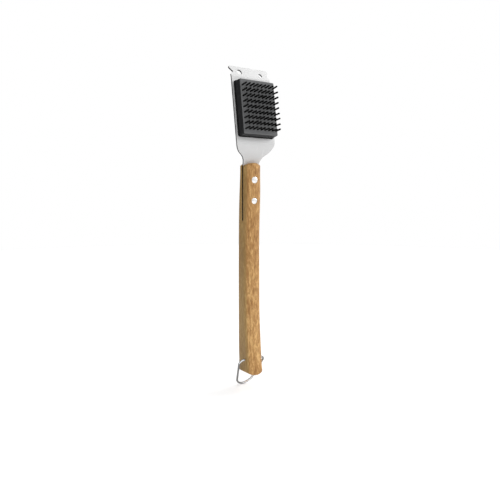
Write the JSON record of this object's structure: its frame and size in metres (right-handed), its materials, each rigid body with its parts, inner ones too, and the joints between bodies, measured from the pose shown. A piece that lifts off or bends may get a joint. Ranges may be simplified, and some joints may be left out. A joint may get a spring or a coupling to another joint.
{
  "type": "grill cleaning brush",
  "caption": "Long-handled grill brush: steel scraper head with a bristle block, riveted wooden handle and a swinging wire hanging loop.",
  "frame": {"origin": "middle of the handle's grip, halfway along the wooden handle and in the middle of its width", "axes": "+Z along the handle towards the head, -Y the side the bristles point to, +X to the right of a person who looks at the bristles"},
  "size_m": [0.0656, 0.0594, 0.4681],
  "materials": {
    "plate_steel": "fine-brushed stainless sheet",
    "block_plastic": "moulded, fine-textured",
    "bristle_nylon": "stiff crimped filament",
    "anchor_wire": "flat drawn wire",
    "screw_steel": "zinc plated",
    "handle_wood": "oiled open-pored hardwood",
    "rivet_steel": "polished",
    "washer_steel": "polished",
    "loop_wire": "nickel plated"
  },
  "bodies": {
    "brush": {"scraper_plate": "plate_steel", "bristle_block": "block_plastic", "bristle_row_1": "bristle_nylon", "bristle_row_2": "bristle_nylon", "bristle_row_3": "bristle_nylon", "bristle_row_4": "bristle_nylon", "bristle_row_5": "bristle_nylon", "bristle_row_6": "bristle_nylon", "bristle_row_7": "bristle_nylon", "bristle_row_8": "bristle_nylon", "bristle_row_9": "bristle_nylon", "tuft_anchors_1": "anchor_wire", "tuft_anchors_2": "anchor_wire", "tuft_anchors_3": "anchor_wire", "tuft_anchors_4": "anchor_wire", "tuft_anchors_5": "anchor_wire", "tuft_anchors_6": "anchor_wire", "tuft_anchors_7": "anchor_wire", "tuft_anchors_8": "anchor_wire", "tuft_anchors_9": "anchor_wire", "block_screw_1": "screw_steel", "block_screw_2": "screw_steel", "block_screw_3": "screw_steel", "block_screw_4": "screw_steel", "handle": "handle_wood", "rivet_upper": "rivet_steel", "rivet_washer_upper": "washer_steel", "rivet_lower": "rivet_steel", "rivet_washer_lower": "washer_steel"},
    "loop": {"hanging_loop": "loop_wire"}
  },
  "joints": [
    {"name": "loop_swing", "type": "hinge", "parent": "brush", "child": "loop", "pos_m": [0, -0.008, -0.132], "axis": [1, 0, 0], "range_deg": [-194, 116]}
  ]
}
